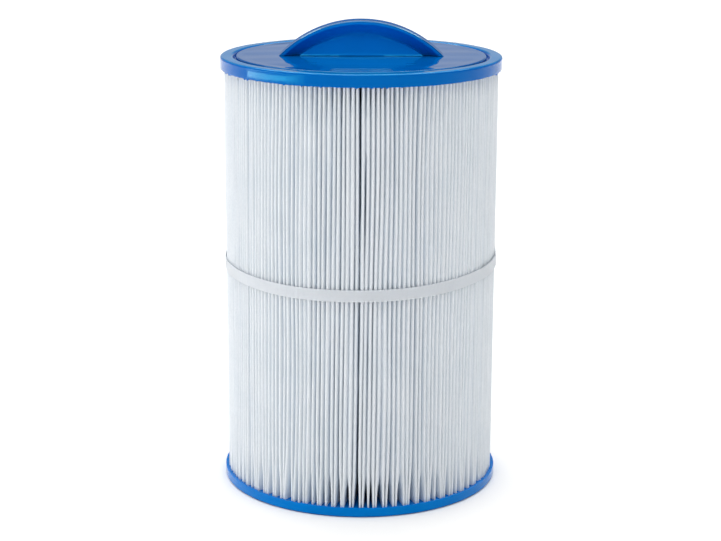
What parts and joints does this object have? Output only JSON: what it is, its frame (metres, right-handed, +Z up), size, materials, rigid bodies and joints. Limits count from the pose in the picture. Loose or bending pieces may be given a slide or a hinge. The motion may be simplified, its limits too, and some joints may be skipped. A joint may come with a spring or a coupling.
{
  "type": "pleated spa filter cartridge",
  "caption": "Upright pleated filter cartridge with cast end caps, a half-moon lift handle on the closed top, a strap at mid height and an open bore in the base.",
  "frame": {"origin": "centre of the bottom cap's underside, on the surface the cartridge stands on", "axes": "+Z up the cartridge's axis, +X along the handle, -Y to the side where the pleated sheet's two ends meet"},
  "size_m": [0.1778, 0.1778, 0.2978],
  "materials": {
    "cast_blue": "satin cast polyurethane with soft gloss",
    "moulded_blue": "polished injection-moulded plastic",
    "media": "matte spunbonded polyester",
    "core": "plain moulded plastic",
    "strap": "milky translucent strap",
    "seam": "bonded seam strip"
  },
  "bodies": {
    "root": {"top_cap": "cast_blue", "handle_plate": "moulded_blue", "bottom_cap": "cast_blue", "core_lower": "core", "core_middle": "core", "core_upper": "core", "core_coupler_lower": "core", "core_coupler_upper": "core", "pleated_media": "media", "media_seam_strip": "seam", "retaining_band": "strap"}
  },
  "joints": []
}
